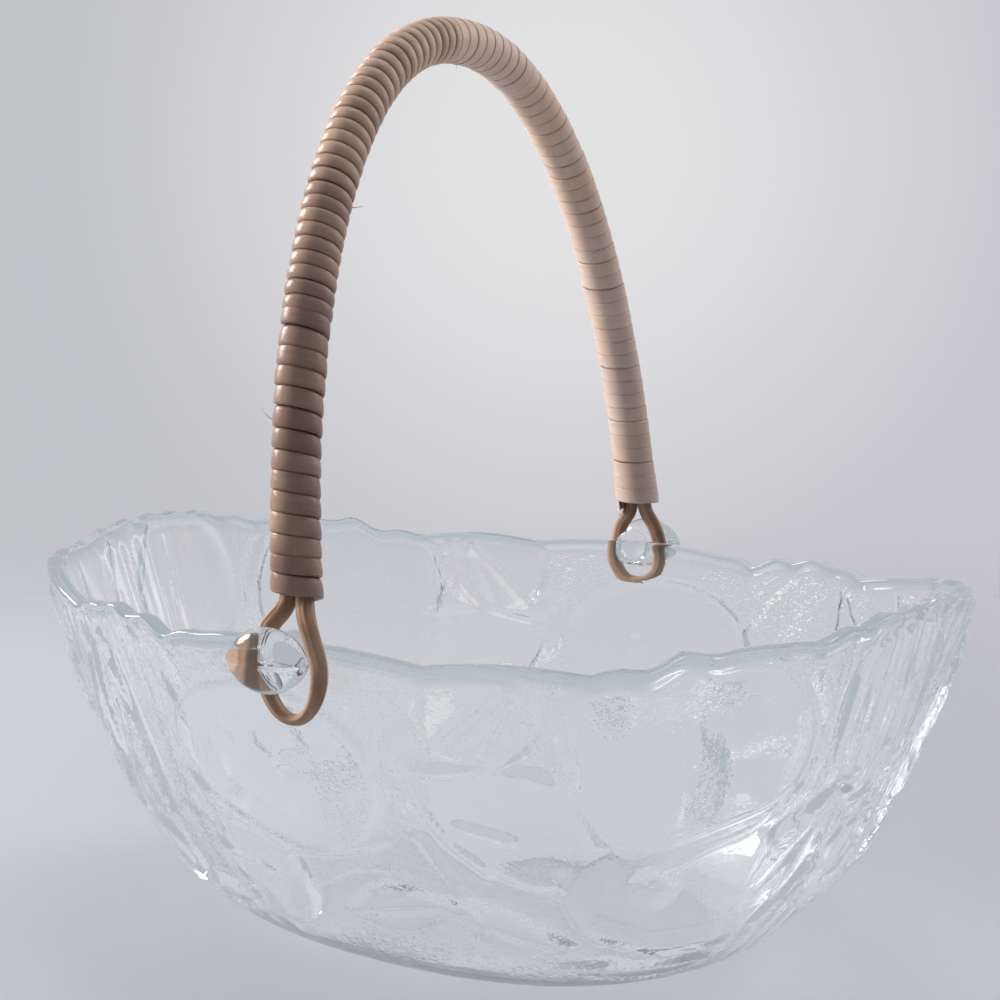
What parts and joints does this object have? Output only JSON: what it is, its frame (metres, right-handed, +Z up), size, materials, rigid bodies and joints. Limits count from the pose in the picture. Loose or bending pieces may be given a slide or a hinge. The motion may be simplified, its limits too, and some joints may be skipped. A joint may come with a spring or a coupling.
{
  "type": "glass basket",
  "caption": "Oval pressed-glass bowl with fruit relief and a scalloped rim, carried by a bound cane handle that swings on a knob at each side.",
  "frame": {"origin": "centre of the overall box at the table: the middle of the bowl's flat base", "axes": "+X along the bowl's length, +Y through the two knobs, +Z up"},
  "size_m": [0.2652, 0.2186, 0.2474],
  "materials": {
    "glass": "clear pressed glass, smooth inside, fine stipple between the relief forms outside",
    "cane": "natural cane, smooth with a lengthwise grain",
    "binding": "flat cane strip, glossy, aged to brown on one leg and pale on the other"
  },
  "bodies": {
    "bowl": {"glass_bowl": "glass"},
    "handle": {"cane_frame": "cane", "near_leg_binding": "binding", "crown_binding": "binding", "far_leg_binding": "binding"}
  },
  "joints": [
    {"name": "handle_swing", "type": "hinge", "parent": "bowl", "child": "handle", "pos_m": [0, 0, 0.0915], "axis": [0, 1, 0], "range_deg": [-48, 41]}
  ]
}
